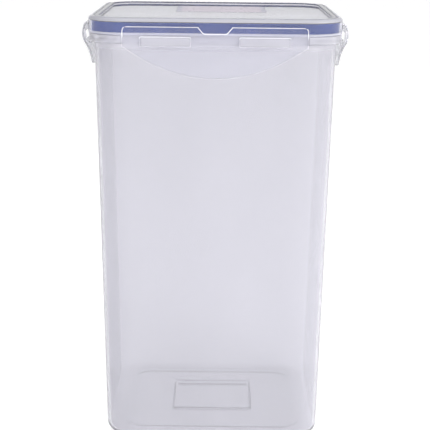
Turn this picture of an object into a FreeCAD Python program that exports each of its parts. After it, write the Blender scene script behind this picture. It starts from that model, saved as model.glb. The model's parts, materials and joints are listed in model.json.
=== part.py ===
import FreeCAD, Part
import math
import os
import re

import Sketcher
from FreeCAD import Placement, Rotation, Vector

# Tall storage box with a lid that is held by four hinged flaps.
# Frame: millimetres, origin at the centre of the base, +Z up, front at -Y.

# Every size that can be set by itself, in millimetres (angles in degrees).
SIZES = {
    # the whole box
    "totalHeight": 271.5,
    # lid
    "lidWidth": 150.0,
    "lidDepth": 120.0,
    "lidCorner": 21.0,
    "lidWall": 1.6,
    "lidSkirt": 9.5,
    "lidRoof": 2.6,
    "lidEdgeRound": 1.9,
    "panelRim": 6.4,
    "panelSink": 1.4,
    "panelThick": 1.8,
    "panelRound": 0.6,
    "rimLineIn": 2.9,
    "rimLineWide": 0.7,
    "rimLineSink": 0.3,
    "plugWall": 1.5,
    "plugReach": 15.0,
    "plugGap": 1.0,
    "plugLead": 0.6,
    # tub
    "bodyInset": 2.8,
    "bodyDraft": 2.8,
    "bodyCorner": 22.0,
    "wallThick": 2.0,
    "floorThick": 2.2,
    "baseRound": 4.5,
    "rimRound": 0.5,
    "floorStepIn": 12.0,
    "floorStepRise": 1.0,
    "padWidth": 53.0,
    "padDepth": 40.0,
    "padCorner": 1.5,
    "padRise": 1.6,
    # collar of the tub, below the lid's skirt
    "collarGap": 0.3,
    "collarHigh": 4.8,
    "collarInset": 0.2,
    "collarRound": 0.7,
    "grooveHigh": 0.8,
    "grooveSink": 0.5,
    "baySink": 2.4,
    "bayGap": 1.0,
    # catch lugs on the collar
    "lugTop": 10.8,
    "lugHigh": 4.6,
    "lugEndGap": 0.5,
    "catchGap": 0.3,
    # seal in the lid's channel
    "sealHigh": 6.4,
    "sealGap": 0.1,
    "sealLip": 1.3,
    "sealGroove": 3.0,
    "rimGap": 0.2,
    # living hinges
    "hingeDrop": 4.8,
    "ledgeOut": 0.3,
    "ledgeHigh": 1.0,
    "webReach": 1.0,
    "webThick": 0.4,
    # flaps
    "frontFlapWidth": 106.4,
    "sideFlapWidth": 76.4,
    "flapThick": 1.4,
    "flapDrop": 34.0,
    "flapSide": 15.5,
    "flapCorner": 2.0,
    "crownRise": 0.25,
    "crownAngle": 22.0,
    "bulgeOut": 4.2,
    "bulgeDrop": 11.0,
    "bulgeRadius": 13.7,
    "neckOut": 1.1,
    "neckRadius": 22.0,
    "notchTop": 19.0,
    "notchBottom": 13.2,
    "notchDrop": 8.0,
    "notchRound": 2.0,
    "slotTop": 10.2,
    "slotHigh": 5.4,
    "slotCorner": 0.8,
    "frontSlotCentre": 28.5,
    "frontSlotLength": 29.0,
    "sideSlotCentre": 20.5,
    "sideSlotLength": 19.0,
    "catchDrop": 0.3,
    "catchHigh": 2.0,
    # label on the panel
    "labelWidth": 57.0,
    "labelDepth": 42.0,
    "labelCorner": 2.0,
    "labelThick": 0.2,
    "labelGap": 0.1,
    "labelSink": 0.05,
    "labelAcross": 3.5,
    "labelBack": 19.0,
}

# Lengths that follow from the sizes, written in the names above.
BODY_WIDTH = "(lidWidth - 2 * bodyInset)"
BODY_DEPTH = "(lidDepth - 2 * bodyInset)"
RIM_DROP = "(lidRoof + sealGap + sealHigh + rimGap)"
RIM_TOP = f"(totalHeight - {RIM_DROP})"
COLLAR_TOP = "(totalHeight - lidSkirt - collarGap)"
PLUG_INSET = "(bodyInset + wallThick + plugGap)"
PLUG_CORNER = "(bodyCorner - wallThick - plugGap)"
HINGE_FAR = "(ledgeOut + webReach)"
CATCH_FACE = "(neckOut - flapThick)"
LUG_FACE = f"({CATCH_FACE} - catchGap)"
CATCH_TOP = "(slotTop + slotHigh + catchDrop)"
# how a sketch names its two axes and the points of an edge
LEVEL_AXIS, UPRIGHT_AXIS = range(-1, -3, -1)
START, END, CENTRE = range(1, 4)

doc = FreeCAD.newDocument("StorageBox")
sheet = doc.addObject("Spreadsheet::Sheet", "Sizes")
for row, (alias, number) in enumerate(SIZES.items(), 1):
    sheet.set(f"A{row}", alias)
    sheet.set(f"B{row}", str(number))
    sheet.setAlias(f"B{row}", alias)
doc.recompute()


def named(text):
    """The formula with each size name pointed at the sheet."""
    return re.sub(r"\b[a-z]+[A-Z]\w*", r"Sizes.\g<0>", text)


def value(text):
    """What a formula comes to with the sheet as it stands."""
    return float(sheet.evalExpression(named(text)))


def bind(thing, prop, text):
    thing.setExpression(prop, named(text))


def new_body(name):
    return doc.addObject("PartDesign::Body", name)


def new_sketch(body, name, plane="XY_Plane", offset="0"):
    sketch = body.newObject("Sketcher::SketchObject", name)
    support = next(o for o in body.Origin.OriginFeatures if o.Role == plane)
    sketch.AttachmentSupport = [(support, "")]
    sketch.MapMode = "FlatFace"
    bind(sketch, "AttachmentOffset.Base.z", offset)
    return sketch


def dimension(sketch, kind, where, text):
    index = sketch.addConstraint(Sketcher.Constraint(kind, *where, value(text)))
    bind(sketch, f"Constraints[{index}]", text)


def set_point(sketch, geo, end, across, up):
    """Hold one point of a sketch at two formulas; zero means on that axis."""
    for kind, text, axis in (("DistanceX", across, UPRIGHT_AXIS), ("DistanceY", up, LEVEL_AXIS)):
        if text == "0":
            sketch.addConstraint(Sketcher.Constraint("PointOnObject", geo, end, axis))
        else:
            dimension(sketch, kind, (geo, end), text)


def join(sketch, first, second, kind="Coincident", ends=(END, START)):
    sketch.addConstraint(Sketcher.Constraint(kind, first, ends[0], second, ends[1]))


def line(sketch, start, end):
    return sketch.addGeometry(Part.LineSegment(start, end), False)


def arc(sketch, centre, start, end):
    """An arc that runs anticlockwise from start to end."""
    circle = Part.Circle(centre, Vector(0, 0, 1), (start - centre).Length)
    return sketch.addGeometry(Part.ArcOfCircle(circle, circle.parameter(start), circle.parameter(end)), False)


def polygon(sketch, corners):
    """A closed outline through corners given as pairs of formulas."""
    spots = [Vector(value(across), value(up), 0) for across, up in corners]
    count = len(spots)
    edges = [line(sketch, spots[i], spots[(i + 1) % count]) for i in range(count)]
    for i, edge in enumerate(edges):
        join(sketch, edge, edges[(i + 1) % count])
        set_point(sketch, edge, START, *corners[i])


def rectangle(sketch, x0, x1, y0, y1):
    polygon(sketch, [(x0, y0), (x1, y0), (x1, y1), (x0, y1)])


def rounded(sketch, width, depth, corner, across="0", back="0"):
    """A rectangle with round corners about the point (across, back)."""
    x0, x1 = f"{across} - {width} / 2", f"{across} + {width} / 2"
    y0, y1 = f"{back} - {depth} / 2", f"{back} + {depth} / 2"
    left, right, low, high, radius = (value(text) for text in (x0, x1, y0, y1, corner))
    spots = [
        Vector(left + radius, low), Vector(right - radius, low),
        Vector(right, low + radius), Vector(right, high - radius),
        Vector(right - radius, high), Vector(left + radius, high),
        Vector(left, high - radius), Vector(left, low + radius),
    ]
    centres = [
        Vector(right - radius, low + radius), Vector(right - radius, high - radius),
        Vector(left + radius, high - radius), Vector(left + radius, low + radius),
    ]
    ring = []
    for i in range(4):
        ring.append(line(sketch, spots[2 * i], spots[2 * i + 1]))
        ring.append(arc(sketch, centres[i], spots[2 * i + 1], spots[(2 * i + 2) % 8]))
    for i in range(8):
        join(sketch, ring[i], ring[(i + 1) % 8], "Tangent")
    for edge, way in zip(ring[::2], ("Horizontal", "Vertical", "Horizontal", "Vertical")):
        sketch.addConstraint(Sketcher.Constraint(way, edge))
    for other in ring[3::2]:
        sketch.addConstraint(Sketcher.Constraint("Equal", ring[1], other))
    dimension(sketch, "Radius", (ring[1],), corner)
    dimension(sketch, "DistanceY", (ring[0], START), y0)
    dimension(sketch, "DistanceX", (ring[2], START), x1)
    dimension(sketch, "DistanceY", (ring[4], START), y1)
    dimension(sketch, "DistanceX", (ring[6], START), x0)


def cut_corner(sketch, sign, half, top, radius):
    """The waste outside a round upper corner at sign * half across and top up."""
    x0, x1, x2 = (f"{sign} * ({half} - {radius})", f"{sign} * {half}", f"{sign} * ({half} + {radius})")
    y0, y1, y2 = (f"{top} - {radius}", top, f"{top} + {radius}")
    inner, outer, far = value(x0), value(x1), value(x2)
    low, level, high = value(y0), value(y1), value(y2)
    side, crest = Vector(outer, low), Vector(inner, level)
    bend = arc(sketch, Vector(inner, low), *((side, crest) if sign > 0 else (crest, side)))
    path = [side, Vector(far, low), Vector(far, high), Vector(inner, high), crest]
    rest = [line(sketch, path[i], path[i + 1]) for i in range(4)]
    side_end, crest_end = (START, END) if sign > 0 else (END, START)
    join(sketch, bend, rest[0], ends=(side_end, START))
    for i in range(3):
        join(sketch, rest[i], rest[i + 1])
    join(sketch, rest[3], bend, ends=(END, crest_end))
    for geo, way in zip(rest, ("Horizontal", "Vertical", "Horizontal", "Vertical")):
        sketch.addConstraint(Sketcher.Constraint(way, geo))
    set_point(sketch, bend, CENTRE, x0, y0)
    set_point(sketch, rest[1], START, x2, y0)
    set_point(sketch, rest[3], START, x0, y2)
    dimension(sketch, "Radius", (bend,), radius)


def pad(body, name, sketch, length, symmetric=False):
    feature = body.newObject("PartDesign::Pad", name)
    feature.Profile = sketch
    bind(feature, "Length", length)
    if symmetric:
        feature.SideType = "Symmetric"
    return feature


def pocket(body, name, sketch, length, upward=False):
    feature = body.newObject("PartDesign::Pocket", name)
    feature.Profile = sketch
    bind(feature, "Length", length)
    feature.Reversed = upward
    return feature


def cut_through(body, name, sketch):
    feature = body.newObject("PartDesign::Pocket", name)
    feature.Profile = sketch
    feature.SideType = "Symmetric"
    feature.Type = "ThroughAll"
    return feature


def edges_where(feature, wanted):
    doc.recompute()
    return [f"Edge{i}" for i, edge in enumerate(feature.Shape.Edges, 1) if wanted(edge)]


def at_height(level, inside=None):
    """A test for edges that lie flat at a height, within a half width and half depth if given."""

    def wanted(edge):
        box = edge.BoundBox
        flat = abs(box.ZMin - level) < 1e-4 and abs(box.ZMax - level) < 1e-4
        if inside is None:
            return flat
        reach = max(abs(box.XMin), abs(box.XMax)) < inside[0] + 1e-4
        return flat and reach and max(abs(box.YMin), abs(box.YMax)) < inside[1] + 1e-4

    return wanted


def round_edges(body, name, base, wanted, radius, kind="Fillet"):
    names = edges_where(base, wanted)
    feature = body.newObject(f"PartDesign::{kind}", name)
    feature.Base = (base, names)
    bind(feature, "Radius" if kind == "Fillet" else "Size", radius)
    return feature


def make_container():
    """Tapered tub with a collar under the rim, catch lugs in the collar's bays and a raised foot."""
    body = new_body("container_body")
    base = new_sketch(body, "TubBase")
    rounded(base, f"({BODY_WIDTH} - 2 * bodyDraft)", f"({BODY_DEPTH} - 2 * bodyDraft)", "(bodyCorner - bodyDraft)")
    outside = pad(body, "TubOutside", base, RIM_TOP)
    bind(outside, "TaperAngle", f"atan(bodyDraft / {RIM_TOP})")
    round_edges(body, "TubBaseRound", outside, at_height(0), "baseRound")

    mouth = new_sketch(body, "TubMouth", offset=RIM_TOP)
    rounded(mouth, f"({BODY_WIDTH} - 2 * wallThick)", f"({BODY_DEPTH} - 2 * wallThick)", "(bodyCorner - wallThick)")
    inside = pocket(body, "TubInside", mouth, f"{RIM_TOP} - floorThick")
    bind(inside, "TaperAngle", f"-atan(bodyDraft / {RIM_TOP})")
    tub = round_edges(body, "TubFloorRound", inside, at_height(value("floorThick")), "(baseRound - wallThick)")
    round_edges(body, "TubRimRound", tub, at_height(value(RIM_TOP)), "rimRound")

    collar_ring = new_sketch(body, "CollarRing", offset=f"{COLLAR_TOP} - collarHigh")
    rounded(collar_ring, "(lidWidth - 2 * collarInset)", "(lidDepth - 2 * collarInset)", "(lidCorner - collarInset)")
    rounded(
        collar_ring, f"({BODY_WIDTH} - wallThick)", f"({BODY_DEPTH} - wallThick)", "(bodyCorner - wallThick / 2)"
    )
    collar = pad(body, "Collar", collar_ring, "collarHigh")
    low, high = value(f"{COLLAR_TOP} - collarHigh"), value(COLLAR_TOP)

    def collar_rim(edge):
        side = max(abs(edge.BoundBox.XMax), abs(edge.BoundBox.XMin)) > value("lidWidth / 2 - collarInset") - 0.01
        end = max(abs(edge.BoundBox.YMax), abs(edge.BoundBox.YMin)) > value("lidDepth / 2 - collarInset") - 0.01
        return (at_height(low)(edge) or at_height(high)(edge)) and (side or end)

    round_edges(body, "CollarRound", collar, collar_rim, "collarRound")

    groove = new_sketch(body, "CollarGrooveRing", offset=f"{COLLAR_TOP} - (collarHigh - grooveHigh) / 2")
    rounded(groove, "(lidWidth + 2 * grooveSink)", "(lidDepth + 2 * grooveSink)", "(lidCorner + grooveSink)")
    rounded(
        groove, "(lidWidth - 2 * collarInset - 2 * grooveSink)", "(lidDepth - 2 * collarInset - 2 * grooveSink)",
        "(lidCorner - collarInset - grooveSink)",
    )
    pocket(body, "CollarGroove", groove, "grooveHigh")

    bays = new_sketch(body, "FlapBays", offset=COLLAR_TOP)
    lugs = new_sketch(body, "CatchLugPlan", offset="totalHeight - lugTop - lugHigh")
    for half, flap, centre, length, swap in (
        ("lidDepth / 2", "frontFlapWidth", "frontSlotCentre", "frontSlotLength", False),
        ("lidWidth / 2", "sideFlapWidth", "sideSlotCentre", "sideSlotLength", True),
    ):
        for sign in ("-", ""):
            bay = (f"-({flap} / 2 + bayGap)", f"{flap} / 2 + bayGap")
            depth = (f"{sign}({half} - baySink)", f"{sign}({half} + baySink)")
            rectangle(bays, *(depth + bay if swap else bay + depth))
            root = (f"{sign}({half} - bodyInset - wallThick / 2)", f"{sign}({half} + {LUG_FACE})")
            for other in ("-", ""):
                reach = (
                    f"{other}({centre} - {length} / 2 + lugEndGap)", f"{other}({centre} + {length} / 2 - lugEndGap)"
                )
                rectangle(lugs, *(root + reach if swap else reach + root))
    pocket(body, "FlapBayCuts", bays, "collarHigh")
    pad(body, "CatchLugs", lugs, "lugHigh")

    step = [f"({size} - 2 * bodyDraft - 2 * floorStepIn)" for size in (BODY_WIDTH, BODY_DEPTH)]
    raised_part(body, "FloorStep", *step, "(bodyCorner - floorStepIn)", "0", "floorStepRise")
    raised_part(body, "FloorPad", "padWidth", "padDepth", "padCorner", "floorStepRise", "padRise")
    return body


def raised_part(body, name, width, depth, corner, below, rise):
    """A part of the floor that is lifted by rise from the level below, hollow underneath."""
    plan = new_sketch(body, f"{name}Plan", offset=f"{below} + floorThick / 2")
    rounded(plan, width, depth, corner)
    pad(body, name, plan, f"{rise} + floorThick / 2")
    hollow = new_sketch(body, f"{name}HollowPlan", offset=below)
    rounded(hollow, f"({width} - 2 * floorThick)", f"({depth} - 2 * floorThick)", corner)
    pocket(body, f"{name}Hollow", hollow, rise, upward=True)


def make_lid():
    """Recessed panel with a raised rim, an outer skirt, a plug wall and ledges for the hinges; z 0 is its top."""
    body = new_body("lid_panel")
    bind(body, "Placement.Base.z", "totalHeight")
    outline = new_sketch(body, "LidOutline", offset="-lidSkirt")
    rounded(outline, "lidWidth", "lidDepth", "lidCorner")
    block = pad(body, "LidBlock", outline, "lidSkirt")
    round_edges(body, "LidEdgeRound", block, at_height(0), "lidEdgeRound")

    under = new_sketch(body, "LidUnderside", offset="-lidSkirt")
    rounded(under, "(lidWidth - 2 * lidWall)", "(lidDepth - 2 * lidWall)", "(lidCorner - lidWall)")
    pocket(body, "LidHollow", under, "lidSkirt - lidRoof", upward=True)

    plug = new_sketch(body, "PlugOutline", offset="-plugReach")
    rounded(plug, f"(lidWidth - 2 * {PLUG_INSET})", f"(lidDepth - 2 * {PLUG_INSET})", PLUG_CORNER)
    core = pad(body, "Plug", plug, "plugReach - lidRoof")
    round_edges(body, "PlugLead", core, at_height(-value("plugReach")), "plugLead", "Chamfer")
    inner = new_sketch(body, "PlugInside", offset="-plugReach")
    rounded(
        inner, f"(lidWidth - 2 * {PLUG_INSET} - 2 * plugWall)", f"(lidDepth - 2 * {PLUG_INSET} - 2 * plugWall)",
        f"({PLUG_CORNER} - plugWall)",
    )
    pocket(body, "PlugHollow", inner, "plugReach - panelSink - panelThick", upward=True)

    recess = new_sketch(body, "PanelOutline")
    rounded(recess, "(lidWidth - 2 * panelRim)", "(lidDepth - 2 * panelRim)", "(lidCorner - panelRim)")
    sunk = pocket(body, "PanelRecess", recess, "panelSink")
    half = (value("lidWidth / 2 - panelRim"), value("lidDepth / 2 - panelRim"))
    round_edges(body, "PanelRimRound", sunk, at_height(0, half), "panelRound")

    seat = new_sketch(body, "LabelSeat", offset="-panelSink")
    rounded(seat, "(labelWidth + 2 * labelGap)", "(labelDepth + 2 * labelGap)", "(labelCorner + labelGap)",
            "labelAcross", "labelBack")
    pocket(body, "LabelRecess", seat, "labelThick + labelSink")

    line_ring = new_sketch(body, "RimLineRing")
    for inset in ("rimLineIn", "(rimLineIn + rimLineWide)"):
        rounded(line_ring, f"(lidWidth - 2 * {inset})", f"(lidDepth - 2 * {inset})", f"(lidCorner - {inset})")
    pocket(body, "RimLine", line_ring, "rimLineSink")

    ledge = new_sketch(body, "HingeLedgeRing", offset="-hingeDrop - ledgeHigh / 2")
    for grow in ("ledgeOut", "-lidWall / 2"):
        rounded(ledge, f"(lidWidth + 2 * ({grow}))", f"(lidDepth + 2 * ({grow}))", f"(lidCorner + ({grow}))")
    pad(body, "HingeLedge", ledge, "ledgeHigh")
    gaps = new_sketch(body, "LedgeGapPlan", offset="-hingeDrop - ledgeHigh / 2")
    for half, swap in (("lidDepth / 2", False), ("lidWidth / 2", True)):
        for sign in ("-", ""):
            out = (f"{sign}({half})", f"{sign}({half} + 2 * ledgeOut)")
            along = ("-notchTop / 2", "notchTop / 2")
            rectangle(gaps, *(out + along if swap else along + out))
    pocket(body, "LedgeGaps", gaps, "ledgeHigh", upward=True)
    return body


def make_seal():
    """Soft ring in the channel between skirt and plug, with a groove in its underside."""
    body = new_body("lid_seal")
    bind(body, "Placement.Base.z", "totalHeight - lidRoof - sealGap - sealHigh")
    outer = ("(lidWidth - 2 * lidWall - 2 * sealGap{})", "(lidDepth - 2 * lidWall - 2 * sealGap{})",
             "(lidCorner - lidWall - sealGap{})")
    inner = (f"(lidWidth - 2 * {PLUG_INSET} + 2 * sealGap{{}})", f"(lidDepth - 2 * {PLUG_INSET} + 2 * sealGap{{}})",
             f"({PLUG_CORNER} + sealGap{{}})")
    ring = new_sketch(body, "SealRing")
    rounded(ring, *(text.format("") for text in outer))
    rounded(ring, *(text.format("") for text in inner))
    pad(body, "Seal", ring, "sealHigh")
    groove = new_sketch(body, "SealGrooveRing")
    less = (" - 2 * sealLip", " - 2 * sealLip", " - sealLip")
    more = (" + 2 * sealLip", " + 2 * sealLip", " + sealLip")
    rounded(groove, *(text.format(change) for text, change in zip(outer, less)))
    rounded(groove, *(text.format(change) for text, change in zip(inner, more)))
    pocket(body, "SealGroove", groove, "sealGroove", upward=True)
    return body


def make_label():
    """Thin sheet in its recess in the panel."""
    body = new_body("lid_label")
    bind(body, "Placement.Base.z", "totalHeight - panelSink - labelSink - labelThick")
    plan = new_sketch(body, "LabelPlan")
    rounded(plan, "labelWidth", "labelDepth", "labelCorner", "labelAcross", "labelBack")
    pad(body, "Label", plan, "labelThick")
    return body


def flap_section(body, name):
    """Section of a flap: a bulge that clears the collar, a neck below it and a flared lip.

    Across is the distance out from the lid's skirt, up is the height from the lid's top.
    """
    bulge_radius, neck_radius, thick = value("bulgeRadius"), value("neckRadius"), value("flapThick")
    bulge = Vector(value("bulgeOut - bulgeRadius"), value("-bulgeDrop"))
    span = bulge_radius + neck_radius
    across = value("neckOut + neckRadius") - bulge.x
    neck = Vector(value("neckOut + neckRadius"), bulge.y - (span**2 - across**2) ** 0.5)
    toward = (neck - bulge).normalize()
    far, crown = value(HINGE_FAR), value("-hingeDrop + crownRise")
    end = value("-flapDrop - flapThick")

    def on_circle(centre, radius, level, side):
        return Vector(centre.x + side * (radius**2 - (level - centre.y) ** 2) ** 0.5, level)

    top = Vector(far, crown)
    shoulder = on_circle(bulge, bulge_radius, crown - thick * 0.7, 1)
    waist_out, waist_in = bulge + toward * bulge_radius, bulge + toward * (bulge_radius - thick)
    tip_out, tip_in = on_circle(neck, neck_radius, end, -1), on_circle(neck, neck_radius + thick, end, -1)
    inner_radius = bulge_radius - thick
    foot = Vector(far, bulge.y + (inner_radius**2 - (far - bulge.x) ** 2) ** 0.5)

    sketch = new_sketch(body, name, "YZ_Plane")
    slope_line = line(sketch, top, shoulder)
    bulge_out = arc(sketch, bulge, waist_out, shoulder)
    neck_out = arc(sketch, neck, waist_out, tip_out)
    tip = line(sketch, tip_out, tip_in)
    neck_in = arc(sketch, neck, waist_in, tip_in)
    bulge_in = arc(sketch, bulge, waist_in, foot)
    root = line(sketch, foot, top)
    join(sketch, slope_line, bulge_out, ends=(END, END))
    join(sketch, bulge_out, neck_out, "Tangent", ends=(START, START))
    join(sketch, neck_out, tip, ends=(END, START))
    join(sketch, tip, neck_in, ends=(END, END))
    join(sketch, neck_in, bulge_in, "Tangent", ends=(START, START))
    join(sketch, bulge_in, root, ends=(END, START))
    join(sketch, root, slope_line)
    set_point(sketch, bulge_out, CENTRE, "bulgeOut - bulgeRadius", "-bulgeDrop")
    dimension(sketch, "Radius", (bulge_out,), "bulgeRadius")
    dimension(sketch, "DistanceX", (neck_out, CENTRE), "neckOut + neckRadius")
    dimension(sketch, "Radius", (neck_out,), "neckRadius")
    join(sketch, bulge_out, bulge_in, ends=(CENTRE, CENTRE))
    join(sketch, neck_out, neck_in, ends=(CENTRE, CENTRE))
    dimension(sketch, "Radius", (bulge_in,), "bulgeRadius - flapThick")
    sketch.addConstraint(Sketcher.Constraint("Horizontal", tip))
    dimension(sketch, "DistanceY", (tip, START), "-flapDrop - flapThick")
    sketch.addConstraint(Sketcher.Constraint("Vertical", root))
    set_point(sketch, slope_line, START, HINGE_FAR, "-hingeDrop + crownRise")
    dimension(sketch, "Angle", (slope_line,), "-crownAngle")
    return sketch


def catch_section(body, name):
    """Section of the rib below the slots, from the face that meets the lugs into the flap's shell."""
    centre = Vector(value("bulgeOut - bulgeRadius"), value("-bulgeDrop"))
    radius = "bulgeRadius - flapThick / 2"
    face, top, low = value(CATCH_FACE), -value(CATCH_TOP), -value(f"{CATCH_TOP} + catchHigh")

    def in_shell(level):
        return Vector(centre.x + (value(radius) ** 2 - (level - centre.y) ** 2) ** 0.5, level)

    sketch = new_sketch(body, name, "YZ_Plane")
    back = arc(sketch, centre, in_shell(low), in_shell(top))
    roof = line(sketch, in_shell(top), Vector(face, top))
    front = line(sketch, Vector(face, top), Vector(face, low))
    under = line(sketch, Vector(face, low), in_shell(low))
    ring = (back, roof, front, under)
    for i in range(4):
        join(sketch, ring[i], ring[(i + 1) % 4])
    for geo, way in ((roof, "Horizontal"), (front, "Vertical"), (under, "Horizontal")):
        sketch.addConstraint(Sketcher.Constraint(way, geo))
    set_point(sketch, back, CENTRE, "bulgeOut - bulgeRadius", "-bulgeDrop")
    dimension(sketch, "Radius", (back,), radius)
    set_point(sketch, front, START, CATCH_FACE, f"-{CATCH_TOP}")
    dimension(sketch, "DistanceY", (front, END), f"-({CATCH_TOP} + catchHigh)")
    return sketch


def notch_outline(sketch):
    """Finger notch in a flap's upper edge: sloped sides and a flat floor with round corners."""
    slope = "atan((notchDrop - hingeDrop) / ((notchTop - notchBottom) / 2))"
    centre_out = f"(notchBottom / 2 - notchRound * tan({slope} / 2))"
    half, side, floor = value("notchTop / 2"), -value("hingeDrop"), -value("notchDrop")
    radius, turn = value("notchRound"), math.radians(value(slope))

    def corner(sign):
        middle = Vector(sign * value(centre_out), floor + radius)
        bend = Vector(sign * math.sin(turn), -math.cos(turn)) * radius
        return middle, middle + bend, middle - Vector(0, radius)

    (right, right_bend, right_low), (left, left_bend, left_low) = corner(1), corner(-1)
    top = line(sketch, Vector(-half, 0), Vector(half, 0))
    right_wall = line(sketch, Vector(half, 0), Vector(half, side))
    right_slope = line(sketch, Vector(half, side), right_bend)
    right_arc = arc(sketch, right, right_low, right_bend)
    bottom = line(sketch, right_low, left_low)
    left_arc = arc(sketch, left, left_bend, left_low)
    left_slope = line(sketch, left_bend, Vector(-half, side))
    left_wall = line(sketch, Vector(-half, side), Vector(-half, 0))
    join(sketch, top, right_wall)
    join(sketch, right_wall, right_slope)
    join(sketch, right_slope, right_arc, "Tangent", ends=(END, END))
    join(sketch, right_arc, bottom, "Tangent", ends=(START, START))
    join(sketch, bottom, left_arc, "Tangent", ends=(END, END))
    join(sketch, left_arc, left_slope, "Tangent", ends=(START, START))
    join(sketch, left_slope, left_wall)
    join(sketch, left_wall, top)
    set_point(sketch, top, START, "-notchTop / 2", "0")
    set_point(sketch, right_wall, START, "notchTop / 2", "0")
    set_point(sketch, right_slope, START, "notchTop / 2", "-hingeDrop")
    set_point(sketch, left_wall, START, "-notchTop / 2", "-hingeDrop")
    set_point(sketch, right_arc, CENTRE, centre_out, "-notchDrop + notchRound")
    set_point(sketch, left_arc, CENTRE, f"-{centre_out}", "-notchDrop + notchRound")
    dimension(sketch, "DistanceY", (bottom, START), "-notchDrop")


def make_flap(name, half, turn, width, slot_centre, slot_length):
    """One flap, built with its hinge along X and its outside towards +Y, then turned to its side of the lid."""
    body = new_body(name)
    body.Placement = Placement(Vector(), Rotation(Vector(0, 0, 1), turn))
    out = Rotation(Vector(0, 0, 1), turn).multVec(Vector(0, 1, 0))
    bind(body, "Placement.Base.x", f"{round(out.x)} * {half}")
    bind(body, "Placement.Base.y", f"{round(out.y)} * {half}")
    bind(body, "Placement.Base.z", "totalHeight")
    section = flap_section(body, f"{name}_section")
    pad(body, f"{name}_shell", section, width, symmetric=True)

    catch = catch_section(body, f"{name}_catch_section")
    pad(body, f"{name}_catch", catch, f"2 * {slot_centre} + {slot_length}", symmetric=True)

    bow = new_sketch(body, f"{name}_bow", "XZ_Plane")
    rise = "(flapDrop - flapSide)"
    radius = f"((({width}) / 2)^2 + {rise}^2) / (2 * {rise})"
    half_width, side, drop = value(f"{width} / 2"), -value("flapSide"), -value("flapDrop")
    margin, depth = half_width + value("flapThick"), drop - value("2 * flapThick")
    centre = Vector(0, drop + value(radius))
    left, right = Vector(-half_width, side), Vector(half_width, side)
    edge = arc(bow, centre, left, right)
    path = [right, Vector(margin, side), Vector(margin, depth), Vector(-margin, depth), Vector(-margin, side), left]
    rest = [line(bow, path[i], path[i + 1]) for i in range(5)]
    join(bow, edge, rest[0])
    for i in range(4):
        join(bow, rest[i], rest[i + 1])
    join(bow, rest[4], edge)
    for geo, way in zip(rest, ("Horizontal", "Vertical", "Horizontal", "Vertical", "Horizontal")):
        bow.addConstraint(Sketcher.Constraint(way, geo))
    bow.addConstraint(Sketcher.Constraint("PointOnObject", edge, CENTRE, UPRIGHT_AXIS))
    dimension(bow, "Radius", (edge,), radius)
    set_point(bow, edge, START, f"-{width} / 2", "-flapSide")
    dimension(bow, "DistanceX", (rest[1], START), f"{width} / 2 + flapThick")
    dimension(bow, "DistanceY", (rest[2], START), "-flapDrop - 2 * flapThick")
    dimension(bow, "DistanceX", (rest[3], START), f"-{width} / 2 - flapThick")
    cut_through(body, f"{name}_bow_cut", bow)

    notch = new_sketch(body, f"{name}_notch", "XZ_Plane")
    notch_outline(notch)
    cut_through(body, f"{name}_notch_cut", notch)

    slots = new_sketch(body, f"{name}_slots", "XZ_Plane")
    for sign in ("-", ""):
        rounded(slots, slot_length, "slotHigh", "slotCorner", f"{sign}{slot_centre}", "-(slotTop + slotHigh / 2)")
    cut_through(body, f"{name}_slot_cuts", slots)

    corners = new_sketch(body, f"{name}_corners", "XZ_Plane")
    for sign in (-1, 1):
        cut_corner(corners, sign, f"({width} / 2)", "-hingeDrop + crownRise", "flapCorner")
    cut_through(body, f"{name}_corner_cuts", corners)
    return body


def make_web(name, half, turn, start, length):
    """A thin strip that joins the lid's ledge to a flap; start is where it begins along the hinge."""
    web = doc.addObject("Part::Box", name)
    spin = Rotation(Vector(0, 0, 1), turn)
    along, out = spin.multVec(Vector(1, 0, 0)), spin.multVec(Vector(0, 1, 0))
    web.Placement = Placement(Vector(), spin)
    bind(web, "Length", length)
    bind(web, "Width", "webReach")
    bind(web, "Height", "webThick")
    for axis in "xy":
        step, reach = round(getattr(along, axis)), round(getattr(out, axis))
        bind(web, f"Placement.Base.{axis}", f"{step} * ({start}) + {reach} * ({half} + ledgeOut)")
    bind(web, "Placement.Base.z", "totalHeight - hingeDrop - webThick / 2")
    return web


pieces = [make_container(), make_lid(), make_seal(), make_label()]
# side of the lid: distance from the centre, turn, hinge width, slots, names of the two webs' ends
SIDES = {
    "front": ("lidDepth / 2", 180, "frontFlapWidth", "frontSlotCentre", "frontSlotLength", ("right", "left")),
    "rear": ("lidDepth / 2", 0, "frontFlapWidth", "frontSlotCentre", "frontSlotLength", ("left", "right")),
    "left": ("lidWidth / 2", 90, "sideFlapWidth", "sideSlotCentre", "sideSlotLength", ("front", "rear")),
    "right": ("lidWidth / 2", -90, "sideFlapWidth", "sideSlotCentre", "sideSlotLength", ("rear", "front")),
}
for side, (half, turn, width, slot_centre, slot_length, ends) in SIDES.items():
    pieces.append(make_flap(f"{side}_flap", half, turn, width, slot_centre, slot_length))
    strip = f"({width} / 2 - notchTop / 2 - flapCorner)"
    starts = (f"-({width} / 2 - flapCorner)", "notchTop / 2")
    for end, start in zip(ends, starts):
        pieces.append(make_web(f"{side}_hinge_{end}", half, turn, start, strip))
doc.recompute()

for thing in doc.Objects:
    if {"Invalid", "Error"} & set(thing.State):
        raise RuntimeError(f"{thing.Name} did not build: {thing.State}")
for piece in pieces:
    if piece.Shape.isNull() or not piece.Shape.isValid() or len(piece.Shape.Solids) != 1:
        raise RuntimeError(f"{piece.Name} is not one valid solid")
os.makedirs("parts", exist_ok=True)
for piece in pieces:
    piece.Shape.exportStep(f"parts/{piece.Name}.step")
    box = piece.Shape.BoundBox
    print(piece.Name, f"{box.XLength:.2f} x {box.YLength:.2f} x {box.ZLength:.2f}", f"{piece.Shape.Volume:.0f} mm3")
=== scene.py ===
import json
import math

import bmesh
import bpy
from mathutils import Matrix, Vector


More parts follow.
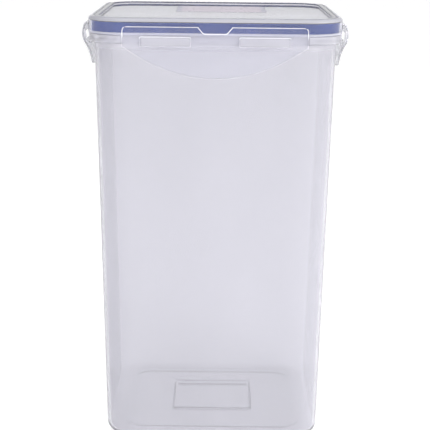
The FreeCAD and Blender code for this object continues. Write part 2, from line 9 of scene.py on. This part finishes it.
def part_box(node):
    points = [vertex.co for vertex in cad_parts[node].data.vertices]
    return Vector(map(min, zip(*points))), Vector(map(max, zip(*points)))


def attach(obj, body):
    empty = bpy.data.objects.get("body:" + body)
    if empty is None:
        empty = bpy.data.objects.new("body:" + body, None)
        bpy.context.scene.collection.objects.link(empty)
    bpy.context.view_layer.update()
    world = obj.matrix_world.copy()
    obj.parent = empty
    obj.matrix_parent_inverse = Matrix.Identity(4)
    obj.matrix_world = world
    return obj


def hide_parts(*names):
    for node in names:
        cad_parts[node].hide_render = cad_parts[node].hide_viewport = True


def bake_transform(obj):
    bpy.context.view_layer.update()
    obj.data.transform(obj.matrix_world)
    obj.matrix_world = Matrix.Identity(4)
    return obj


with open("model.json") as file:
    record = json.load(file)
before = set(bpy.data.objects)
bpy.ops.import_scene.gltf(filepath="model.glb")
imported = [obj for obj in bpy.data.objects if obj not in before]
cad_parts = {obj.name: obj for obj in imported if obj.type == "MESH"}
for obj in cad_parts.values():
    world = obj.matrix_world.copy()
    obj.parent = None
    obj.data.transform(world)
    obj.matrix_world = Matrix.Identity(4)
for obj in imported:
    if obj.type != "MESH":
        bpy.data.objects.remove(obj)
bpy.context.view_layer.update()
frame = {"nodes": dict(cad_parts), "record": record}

NODES = frame["nodes"]
MM = 0.001
FLAPS = ("front_flap", "rear_flap", "left_flap", "right_flap")
SIDE_FLAPS = ("left_flap", "right_flap")

# the lid's outline from above: half its width and depth, and its corner radius, in metres
LID_HALF = (0.075, 0.060)
LID_CORNER = 0.021

# ---------------------------------------------------------------- materials

# most of a noise texture lies between these values
NOISE_LOW, NOISE_HIGH = 0.3, 0.7


def new_material(name):
    material = bpy.data.materials.new(name)
    material.use_nodes = True
    tree = material.node_tree
    shader = tree.nodes["Principled BSDF"]
    return material, tree, shader


def own_place(tree):
    """The piece's own coordinates, in metres."""
    return tree.nodes.new("ShaderNodeTexCoord").outputs["Object"]


def axes(tree, source):
    """The X, Y and Z outputs of a vector."""
    split = tree.nodes.new("ShaderNodeSeparateXYZ")
    tree.links.new(source, split.inputs["Vector"])
    return split.outputs


def noise(tree, scale, detail=3.0, roughness=0.55, stretch=None):
    """Noise over the piece's own coordinates, in metres, stretched along an axis if asked."""
    place = own_place(tree)
    texture = tree.nodes.new("ShaderNodeTexNoise")
    texture.inputs["Scale"].default_value = scale
    texture.inputs["Detail"].default_value = detail
    texture.inputs["Roughness"].default_value = roughness
    if stretch:
        mapping = tree.nodes.new("ShaderNodeMapping")
        mapping.inputs["Scale"].default_value = stretch
        tree.links.new(place, mapping.inputs["Vector"])
        place = mapping.outputs["Vector"]
    tree.links.new(place, texture.inputs["Vector"])
    return texture.outputs["Fac"]


def ramp(tree, source, low, high, low_at=NOISE_LOW, high_at=NOISE_HIGH):
    """A blend of two colours."""
    node = tree.nodes.new("ShaderNodeValToRGB")
    first, last = node.color_ramp.elements
    first.position, first.color = low_at, (*low, 1)
    last.position, last.color = high_at, (*high, 1)
    tree.links.new(source, node.inputs["Fac"])
    return node.outputs["Color"]


def span(tree, source, low, high):
    """A noise spread over a range of values."""
    node = tree.nodes.new("ShaderNodeMapRange")
    node.inputs["From Min"].default_value = NOISE_LOW
    node.inputs["From Max"].default_value = NOISE_HIGH
    node.inputs["To Min"].default_value = low
    node.inputs["To Max"].default_value = high
    tree.links.new(source, node.inputs["Value"])
    return node.outputs["Result"]


def bump(tree, source, strength, distance):
    node = tree.nodes.new("ShaderNodeBump")
    node.inputs["Strength"].default_value = strength
    node.inputs["Distance"].default_value = distance
    tree.links.new(source, node.inputs["Height"])
    return node.outputs["Normal"]


def milky_plastic(name, tint, clear, rough, ior=1.2, flow=None):
    """Moulded translucent plastic: faint clouds in the tint, uneven gloss and a fine grain."""
    material, tree, shader = new_material(name)
    clouds = noise(tree, 18, 4, 0.6, flow)
    darker = tuple(c * 0.97 for c in tint)
    tree.links.new(ramp(tree, clouds, darker, tint), shader.inputs["Base Color"])
    wear = noise(tree, 240, 5, 0.65)
    tree.links.new(span(tree, wear, rough * 0.85, rough * 1.2), shader.inputs["Roughness"])
    grain = noise(tree, 900, 2, 0.5)
    tree.links.new(bump(tree, grain, 0.025, 0.0002), shader.inputs["Normal"])
    shader.inputs["Transmission Weight"].default_value = clear
    shader.inputs["IOR"].default_value = ior
    return material


# how softly the lid's rim, its seal window and the label's border begin, in metres
RIM_FADE, SEAL_FADE, BORDER_FADE = 0.0004, 0.0003, 0.0002
FLOOR_GLOW = 0.8


def vector_maths(tree, operation, first, second):
    node = tree.nodes.new("ShaderNodeVectorMath")
    node.operation = operation
    tree.links.new(first, node.inputs[0])
    node.inputs[1].default_value = second
    return node.outputs["Vector"]


def height(tree, level):
    """Height over a level of the piece, in metres, negative below it."""
    above = tree.nodes.new("ShaderNodeMath")
    above.operation = "SUBTRACT"
    tree.links.new(axes(tree, own_place(tree))["Z"], above.inputs[0])
    above.inputs[1].default_value = level
    return above.outputs["Value"]


def maths(tree, operation, *sources):
    node = tree.nodes.new("ShaderNodeMath")
    node.operation = operation
    for source, socket in zip(sources, node.inputs):
        tree.links.new(source, socket)
    return node.outputs["Value"]


def between(tree, source, start, end, low=0.0, high=1.0):
    """A smooth step from low to high as the source goes from start to end."""
    node = tree.nodes.new("ShaderNodeMapRange")
    node.interpolation_type = "SMOOTHSTEP"
    node.inputs["From Min"].default_value = start
    node.inputs["From Max"].default_value = end
    node.inputs["To Min"].default_value = low
    node.inputs["To Max"].default_value = high
    tree.links.new(source, node.inputs["Value"])
    return node.outputs["Result"]


def outline_distance(tree, half, corner):
    """Distance out from the corner centres of a rounded rectangle: its corner radius on the outline."""
    size = vector_maths(tree, "ABSOLUTE", own_place(tree), (0, 0, 0))
    inset = vector_maths(tree, "SUBTRACT", size, (half[0] - corner, half[1] - corner, 0))
    beyond = vector_maths(tree, "MAXIMUM", inset, (0, 0, 0))
    flat = vector_maths(tree, "MULTIPLY", beyond, (1, 1, 0))
    length = tree.nodes.new("ShaderNodeVectorMath")
    length.operation = "LENGTH"
    tree.links.new(flat, length.inputs[0])
    return length.outputs["Value"]


def haze_rim(material, clear, rim_clear, width, level, reach):
    """Less clear plastic along the lid's outline, above and below the seal that shows through it."""
    tree = material.node_tree
    inner = LID_CORNER - width
    from_centres = outline_distance(tree, LID_HALF, LID_CORNER)
    edge = between(tree, from_centres, inner - RIM_FADE, inner)
    from_seal = maths(tree, "ABSOLUTE", height(tree, level))
    off_seal = between(tree, from_seal, reach - SEAL_FADE, reach + SEAL_FADE)
    mask = maths(tree, "MULTIPLY", edge, off_seal)
    shader = tree.nodes["Principled BSDF"]
    tree.links.new(between(tree, mask, 0, 1, clear, rim_clear), shader.inputs["Transmission Weight"])


def paint_light_on_sides(material, start, end, gain):
    """Painted light: a tint that gets paler towards the left and right walls, where light coming through
    the plastic from the sides makes them look lighter.
    """
    tree = material.node_tree
    shader = tree.nodes["Principled BSDF"]
    tint = shader.inputs["Base Color"].links[0].from_socket
    from_middle = maths(tree, "ABSOLUTE", axes(tree, own_place(tree))["X"])
    painted_light_share = between(tree, from_middle, start, end, 1.0, gain)
    scale = tree.nodes.new("ShaderNodeVectorMath")
    scale.operation = "SCALE"
    tree.links.new(tint, scale.inputs[0])
    tree.links.new(painted_light_share, scale.inputs["Scale"])
    tree.links.new(scale.outputs["Vector"], shader.inputs["Base Color"])


def haze_by_height(material, level, fade, below, above):
    """How clear the plastic is below and above a level of the piece."""
    tree = material.node_tree
    shader = tree.nodes["Principled BSDF"]
    clear = between(tree, height(tree, level), -fade, fade, below, above)
    tree.links.new(clear, shader.inputs["Transmission Weight"])


def satin_rubber(name, low, high):
    material, tree, shader = new_material(name)
    tree.links.new(ramp(tree, noise(tree, 60, 4), low, high), shader.inputs["Base Color"])
    tree.links.new(span(tree, noise(tree, 300, 3), 0.4, 0.55), shader.inputs["Roughness"])
    tree.links.new(bump(tree, noise(tree, 1500, 2), 0.1, 0.0002), shader.inputs["Normal"])
    shader.inputs["IOR"].default_value = 1.42
    return material


def label_film(name, centre, half, border):
    """Blank film: a pale field inside a darker border, without words or pictures."""
    material, tree, shader = new_material(name)
    offset = vector_maths(tree, "SUBTRACT", own_place(tree), (*centre, 0))
    size = vector_maths(tree, "ABSOLUTE", offset, (0, 0, 0))
    field_half = (half[0] - border, half[1] - border, 0)
    past = axes(tree, vector_maths(tree, "SUBTRACT", size, field_half))
    past_field = maths(tree, "MAXIMUM", past["X"], past["Y"])
    frame_mask = between(tree, past_field, -BORDER_FADE, BORDER_FADE)
    field = ramp(tree, noise(tree, 90, 3), (0.34, 0.30, 0.36), (0.39, 0.34, 0.41))
    edge = ramp(tree, noise(tree, 120, 3), (0.24, 0.235, 0.31), (0.28, 0.275, 0.35))
    mix = tree.nodes.new("ShaderNodeMix")
    mix.data_type = "RGBA"
    tree.links.new(frame_mask, mix.inputs["Factor"])
    tree.links.new(field, mix.inputs["A"])
    tree.links.new(edge, mix.inputs["B"])
    tree.links.new(mix.outputs["Result"], shader.inputs["Base Color"])
    tree.links.new(span(tree, noise(tree, 400, 3), 0.25, 0.35), shader.inputs["Roughness"])
    tree.links.new(bump(tree, noise(tree, 1200, 2), 0.05, 0.0001), shader.inputs["Normal"])
    return material


def pale_floor(name):
    material, tree, shader = new_material(name)
    clouds = ramp(tree, noise(tree, 6, 3), (0.34, 0.34, 0.34), (0.36, 0.36, 0.36))
    tree.links.new(clouds, shader.inputs["Base Color"])
    tree.links.new(span(tree, noise(tree, 30, 3), 0.6, 0.7), shader.inputs["Roughness"])
    tree.links.new(bump(tree, noise(tree, 200, 2), 0.05, 0.0005), shader.inputs["Normal"])
    shader.inputs["Emission Color"].default_value = (1, 1, 1, 1)
    shader.inputs["Emission Strength"].default_value = FLOOR_GLOW
    return material


TUB_CLEAR, LID_CLEAR = 0.77, 0.93
TUB = milky_plastic(
    "tub_milky", (0.795, 0.79, 0.835), TUB_CLEAR, 0.12, ior=1.12, flow=(1, 1, 0.25))
LID = milky_plastic("lid_milky", (0.895, 0.895, 0.97), LID_CLEAR, 0.07, ior=1.16)
FLAP = milky_plastic("flap_milky", (0.92, 0.92, 0.95), 0.93, 0.08, ior=1.14)
# painted shade: the side flaps are the same plastic as the others, given a darker, less clear copy so
# they look filled and shaded from the front
SIDE_FLAP_SHADED = milky_plastic("side_flap_shaded", (0.84, 0.84, 0.87), 0.88, 0.2, ior=1.06)
# painted highlight: pale, opaque threads along the flap and pad edges stand in for light caught by those
# edges
EDGE_HIGHLIGHT = milky_plastic("edge_highlight_painted", (0.97, 0.97, 0.985), 0.0, 0.35, ior=1.45)
# painted highlight: the hinge's pale, less clear tint stands in for light caught along the hinge line
HINGE_HIGHLIGHT = milky_plastic("hinge_highlight_painted", (0.93, 0.94, 0.98), 0.3, 0.3, ior=1.45)
SEAL = satin_rubber("seal_blue", (0.010, 0.060, 0.34), (0.018, 0.076, 0.40))
# painted shade: dark blue-grey bands in the rim where its edge and groove look dark and show the blue
# seal
RIM_SHADE = milky_plastic("rim_shade_painted", (0.06, 0.07, 0.15), 0.2, 0.3, ior=1.16)
PAD_SHADE = milky_plastic("pad_shade_grey", (0.5, 0.5, 0.57), 0.3, 0.3, ior=1.2)
LABEL = label_film("label_blank", centre=(0.0035, 0.019), half=(0.0285, 0.021), border=0.003)
FLOOR = pale_floor("floor_pale")
haze_rim(LID, LID_CLEAR, rim_clear=0.64, width=0.0021, level=0.2663, reach=0.0031)
haze_by_height(FLAP, level=0.2628, fade=0.0012, below=0.978, above=0.99)
haze_by_height(TUB, level=0.2535, fade=0.0015, below=TUB_CLEAR, above=0.68)
# painted light: the tub's tint gets paler towards its left and right walls
paint_light_on_sides(TUB, start=0.053, end=0.064, gain=1.03)

LOOKS = {"tub_plastic": TUB, "lid_plastic": LID, "flap_plastic": FLAP, "hinge_plastic": HINGE_HIGHLIGHT,
         "seal_rubber": SEAL, "label_film": LABEL}
for part in frame["record"]["subparts"]:
    node = NODES[part["node"]]
    node.data.materials.clear()
    node.data.materials.append(LOOKS[part["material_slot"]])
# the side flaps take the darker, painted-shade copy of the flap plastic
for name in SIDE_FLAPS:
    NODES[name].data.materials[0] = SIDE_FLAP_SHADED

# ---------------------------------------------------------------- softened edges

WELD = 1e-6
FLAP_ROUND, LID_ROUND = 0.0003, 0.00015


def soften(node_name, width, segments=3, angle=32):
    """Small round on the moulded edges of a node, shaded from its larger faces."""
    node = NODES[node_name]
    weld = node.modifiers.new("weld", "WELD")
    weld.merge_threshold = WELD
    edge = node.modifiers.new("edge_round", "BEVEL")
    edge.width = width
    edge.segments = segments
    edge.limit_method = "ANGLE"
    edge.angle_limit = math.radians(angle)
    edge.use_clamp_overlap = True
    normals = node.modifiers.new("even_normals", "WEIGHTED_NORMAL")
    normals.keep_sharp = False
    return node


# the clear flaps cast no shadow on the wall behind them, a setting of the render alone
for name in FLAPS:
    soften(name, FLAP_ROUND).visible_shadow = False
soften("lid_panel", LID_ROUND)

# ---------------------------------------------------------------- hinge strips

# the outward direction of each side of the lid, as x and y
LID_FACE = {"front": (0, -1), "rear": (0, 1), "left": (-1, 0), "right": (1, 0)}
STRIP_ROWS = 12


def hinge_strip(node_name, side):
    """A thin web divided finely across the hinge."""
    low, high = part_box(node_name)
    across = 1 if side in ("front", "rear") else 0
    along = 1 - across
    mesh = bpy.data.meshes.new(node_name + "_strip")
    build = bmesh.new()
    rings = []
    for i in range(STRIP_ROWS + 1):
        reach = low[across] + (high[across] - low[across]) * i / STRIP_ROWS
        ring = []
        for end, level in ((low, low), (high, low), (high, high), (low, high)):
            spot = Vector()
            spot[across] = reach
            spot[along] = end[along]
            spot.z = level.z
            ring.append(build.verts.new(spot))
        rings.append(ring)
    for first, second in zip(rings, rings[1:]):
        for i in range(4):
            j = (i + 1) % 4
            build.faces.new((first[i], first[j], second[j], second[i]))
    build.faces.new(rings[0][::-1])
    build.faces.new(rings[-1])
    bmesh.ops.recalc_face_normals(build, faces=build.faces)
    build.to_mesh(mesh)
    build.free()
    strip = bpy.data.objects.new(node_name + "_strip", mesh)
    bpy.context.scene.collection.objects.link(strip)
    # the strip takes the painted hinge highlight
    mesh.materials.append(HINGE_HIGHLIGHT)
    inner, outer = (low, high) if sum(LID_FACE[side]) > 0 else (high, low)
    middle = (low + high) / 2
    start, end = middle.copy(), middle.copy()
    start[across], end[across] = inner[across], outer[across]
    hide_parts(node_name)
    tuple(start)
    tuple(end)
    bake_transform(strip)


for side in LID_FACE:
    for end in (("left", "right") if side in ("front", "rear") else ("front", "rear")):
        hinge_strip(f"{side}_hinge_{end}", side)

# ---------------------------------------------------------------- painted highlights on the flap edges

# threads are fine below this height and thicker above it, with a short change between
UPPER_EDGE, THREAD, FINE_THREAD, THREAD_CHANGE = 0.261, 0.0002, 0.000035, 0.0015
THREAD_SIDES, THREAD_SINK = 6, 1.5
# an outline edge is this sharp, with one of its faces turned outwards by this much
SHARP_EDGE, OUTWARD = math.radians(35), 0.3


def outline_chains(node, out):
    """The edges between a flap's outer face and its cut sides: runs of points and inward directions."""
    build = bmesh.new()
    build.from_mesh(node.data)
    bmesh.ops.remove_doubles(build, verts=build.verts, dist=WELD)
    links = {}
    for edge in build.edges:
        if len(edge.link_faces) != 2:
            continue
        first, second = (face.normal for face in edge.link_faces)
        facing = sorted((first.dot(out), second.dot(out)))
        if first.angle(second) > SHARP_EDGE and facing[0] < OUTWARD < facing[1]:
            inward = -(first + second).normalized()
            for here, there in (edge.verts, reversed(edge.verts)):
                links.setdefault(here.index, []).append((there.index, inward))
    build.verts.ensure_lookup_table()
    spots = {i: build.verts[i].co.copy() for i in links}
    build.free()
    chains, used = [], set()
    starts = [i for i in links if len(links[i]) != 2] + list(links)
    for start in starts:
        for step, _ in links[start]:
            if frozenset((start, step)) in used:
                continue
            run, here, there = [start], start, step
            while there is not None:
                used.add(frozenset((here, there)))
                run.append(there)
                ahead = [n for n, _ in links[there] if frozenset((there, n)) not in used]
                here, there = there, (ahead[0] if len(links[there]) == 2 and ahead else None)
            inwards = [sum((d for _, d in links[i]), Vector()).normalized() for i in run]
            chains.append([(spots[i], inward) for i, inward in zip(run, inwards)])
    return chains


def thread_radius(spot):
    painted_light_share = min(max((spot.z - UPPER_EDGE) / THREAD_CHANGE + 0.5, 0), 1)
    return FINE_THREAD + (THREAD - FINE_THREAD) * painted_light_share


def add_thread(build, chain, radius_at=thread_radius):
    """A round thread just below an edge, closed at both ends."""
    points = [spot + inward * radius_at(spot) * THREAD_SINK for spot, inward in chain]
    turns = [math.tau * k / THREAD_SIDES for k in range(THREAD_SIDES)]
    rings = []
    for i, (point, (spot, inward)) in enumerate(zip(points, chain)):
        radius = radius_at(spot)
        ahead = (points[min(i + 1, len(points) - 1)] - points[max(i - 1, 0)]).normalized()
        side = ahead.cross(inward).normalized()
        up = side.cross(ahead)
        ring = [radius * (math.cos(t) * side + math.sin(t) * up) for t in turns]
        rings.append([build.verts.new(point + offset) for offset in ring])
    for first, second in zip(rings, rings[1:]):
        for k in range(THREAD_SIDES):
            j = (k + 1) % THREAD_SIDES
            build.faces.new((first[k], first[j], second[j], second[k]))
    build.faces.new(rings[0][::-1])
    build.faces.new(rings[-1])


def add_piece(name, build, material, body):
    """A finished mesh that takes a slot's finish and moves with a body."""
    bmesh.ops.recalc_face_normals(build, faces=build.faces)
    mesh = bpy.data.meshes.new(name)
    build.to_mesh(mesh)
    build.free()
    mesh.materials.append(material)
    piece = bpy.data.objects.new(name, mesh)
    bpy.context.scene.collection.objects.link(piece)
    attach(piece, body)


def painted_edge_highlights(side):
    """Painted highlights: pale threads along the outline of a flap, finer along its lower bow."""
    build = bmesh.new()
    for chain in outline_chains(NODES[side + "_flap"], Vector((*LID_FACE[side], 0))):
        add_thread(build, chain)
    add_piece(side + "_flap_highlights", build, EDGE_HIGHLIGHT, side + "_flap")


for side in LID_FACE:
    painted_edge_highlights(side)

# ---------------------------------------------------------------- painted highlights and shadow at the edges of the pad in the floor

PAD_X, PAD_Y, PAD_TOP, PAD_FOOT = 0.0265, 0.020, 0.0048, 0.0032
PAD_HIGHLIGHT_THREAD, SHADE_THREAD = 0.0004, 0.0003
PAD_ENDS = 0.002


def straight_chain(start, end, inward, steps=12):
    """A straight run of points with one inward direction."""
    start, end = Vector(start), Vector(end)
    return [(start.lerp(end, k / steps), Vector(inward).normalized()) for k in range(steps + 1)]


def pad_painted_edges():
    """Painted highlights: pale threads along two sides of the raised pad. Painted shadow: darker threads
    at its foot there and in front.
    """
    light, shade = bmesh.new(), bmesh.new()
    reach = PAD_Y - PAD_ENDS
    foot_x, foot_y = PAD_X + SHADE_THREAD, -PAD_Y - SHADE_THREAD
    for sign in (-1, 1):
        x = sign * PAD_X
        top = straight_chain((x, -reach, PAD_TOP), (x, reach, PAD_TOP), (-sign, 0, -1))
        add_thread(light, top, lambda spot: PAD_HIGHLIGHT_THREAD)
        x = sign * foot_x
        foot = straight_chain((x, -reach, PAD_FOOT), (x, reach, PAD_FOOT), (0, 0, -1))
        add_thread(shade, foot, lambda spot: SHADE_THREAD)
    front = straight_chain((-PAD_X, foot_y, PAD_FOOT), (PAD_X, foot_y, PAD_FOOT), (0, 0, -1))
    add_thread(shade, front, lambda spot: SHADE_THREAD)
    add_piece("pad_painted_edges", light, EDGE_HIGHLIGHT, "container")
    add_piece("pad_shade", shade, PAD_SHADE, "container")


pad_painted_edges()

# ---------------------------------------------------------------- painted shade in the lid's rim


def rounded_path(half, corner, z, steps=10):
    """Points round a rounded rectangle at one height."""
    points = []
    for quarter, (sx, sy) in enumerate(((1, 1), (-1, 1), (-1, -1), (1, -1))):
        for k in range(steps + 1):
            turn = math.pi / 2 * (quarter + k / steps)
            reach = corner * Vector((math.cos(turn), math.sin(turn), 0))
            centre = Vector((sx * (half[0] - corner), sy * (half[1] - corner), z))
            points.append(centre + reach)
    return points


def paint_rim_shade(name, inset, z, width, depth):
    """Painted shade: a thin dark band under the top of the rim, round the panel, where the rim's edge and
    groove look dark with the blue seal seen through them.
    """
    build = bmesh.new()
    rings = []
    half = (LID_HALF[0] - inset, LID_HALF[1] - inset)
    points = rounded_path(half, LID_CORNER - inset, z)
    up = Vector((0, 0, 1))
    for i, point in enumerate(points):
        out = (points[(i + 1) % len(points)] - points[i - 1]).normalized().cross(up)
        section = ((0, 0), (width, 0), (width, -depth), (0, -depth))
        corners = [point + out * across + up * rise for across, rise in section]
        rings.append([build.verts.new(corner) for corner in corners])
    for i, first in enumerate(rings):
        second = rings[(i + 1) % len(rings)]
        for k in range(4):
            j = (k + 1) % 4
            build.faces.new((first[k], first[j], second[j], second[k]))
    add_piece(name, build, RIM_SHADE, "lid")


paint_rim_shade("panel_rim_shade", inset=6.3 * MM, z=0.27135, width=0.0014, depth=0.0005)
paint_rim_shade("outer_rim_shade", inset=3.3 * MM, z=0.27115, width=0.0012, depth=0.0005)

# ---------------------------------------------------------------- stage, light and camera

# soft boxes: place, aim, size in metres and power in watts
LAMPS = {
    "key_right": ((1.0, -0.95, 0.7), (0, 0, 0.14), (0.8, 1.2), 20),
    "top": ((0, 0.05, 1.25), (0, 0, 0.25), (1.0, 0.8), 9),
    "front_fill": ((-0.3, -2.0, 0.6), (0, 0, 0.14), (2.6, 0.9), 4.5),
    "fill_left": ((-1.05, -0.7, 0.6), (0, 0, 0.14), (0.8, 1.0), 4.2),
}
# brightness of the sky at and below one height of view, and at and above another
SKY_LOW, SKY_HIGH = 1.04, 0.34
SKY_LOW_AT, SKY_HIGH_AT = 0.15, 0.45
FLOOR_REACH, FLOOR_DROP = 12.0, 0.0003
# the camera, solved from outlines: place in mm, yaw, pitch and roll in degrees, and in pixels of
# the image its size, focal length and the row of its principal point
CAMERA_PLACE = (1.95, -610.88, 326.17)
CAMERA_TURN = (-0.121, 15.963, -0.585)
IMAGE, FOCAL, PRINCIPAL_ROW = 430, 957.6, 193


def add_floor():
    mesh = bpy.data.meshes.new("floor")
    corners = [(x * FLOOR_REACH, y * FLOOR_REACH, 0) for x, y in ((-1, -1), (1, -1), (1, 1), (-1, 1))]
    mesh.from_pydata(corners, [], [(0, 1, 2, 3)])
    mesh.materials.append(FLOOR)
    floor = bpy.data.objects.new("floor", mesh)
    floor.location.z = -FLOOR_DROP
    bpy.context.scene.collection.objects.link(floor)


def add_area(name, place, aim, size, power):
    """A soft box that is not seen itself, neither directly nor through the plastic."""
    light = bpy.data.lights.new(name, "AREA")
    light.shape = "RECTANGLE"
    light.size, light.size_y = size
    light.energy = power
    lamp = bpy.data.objects.new(name, light)
    lamp.visible_camera = False
    lamp.visible_transmission = False
    lamp.location = place
    lamp.rotation_euler = (Vector(aim) - Vector(place)).to_track_quat("-Z", "Y").to_euler()
    bpy.context.scene.collection.objects.link(lamp)


def add_world():
    world = bpy.data.worlds.new("studio")
    world.use_nodes = True
    tree = world.node_tree
    back = tree.nodes["Background"]
    back.inputs["Strength"].default_value = 1.0
    direction = tree.nodes.new("ShaderNodeTexCoord").outputs["Generated"]
    sky = ramp(tree, axes(tree, direction)["Z"], (SKY_LOW,) * 3, (SKY_HIGH,) * 3, SKY_LOW_AT, SKY_HIGH_AT)
    tree.links.new(sky, back.inputs["Color"])
    bpy.context.scene.world = world


def add_camera():
    yaw, pitch, roll = (math.radians(angle) for angle in CAMERA_TURN)
    level = math.cos(pitch)
    forward = Vector((math.sin(yaw) * level, math.cos(yaw) * level, -math.sin(pitch)))
    right = Vector((math.cos(yaw), -math.sin(yaw), 0))
    down = forward.cross(right)
    across = math.cos(roll) * right + math.sin(roll) * down
    under = -math.sin(roll) * right + math.cos(roll) * down
    data = bpy.data.cameras.new("camera")
    data.sensor_width = 36
    data.sensor_fit = "HORIZONTAL"
    data.lens = FOCAL / IMAGE * data.sensor_width
    data.shift_y = (PRINCIPAL_ROW - IMAGE / 2) / IMAGE
    data.clip_start = 0.01
    camera = bpy.data.objects.new("camera", data)
    turn = Matrix((across, -under, -forward)).transposed().to_4x4()
    camera.matrix_world = Matrix.Translation(Vector(CAMERA_PLACE) * MM) @ turn
    bpy.context.scene.collection.objects.link(camera)
    bpy.context.scene.camera = camera


add_floor()
add_world()
for light_name, (place, aim, size, power) in LAMPS.items():
    add_area(light_name, place, aim, size, power)
add_camera()

scene = bpy.context.scene
scene.view_settings.view_transform = "Standard"
scene.view_settings.look = "None"
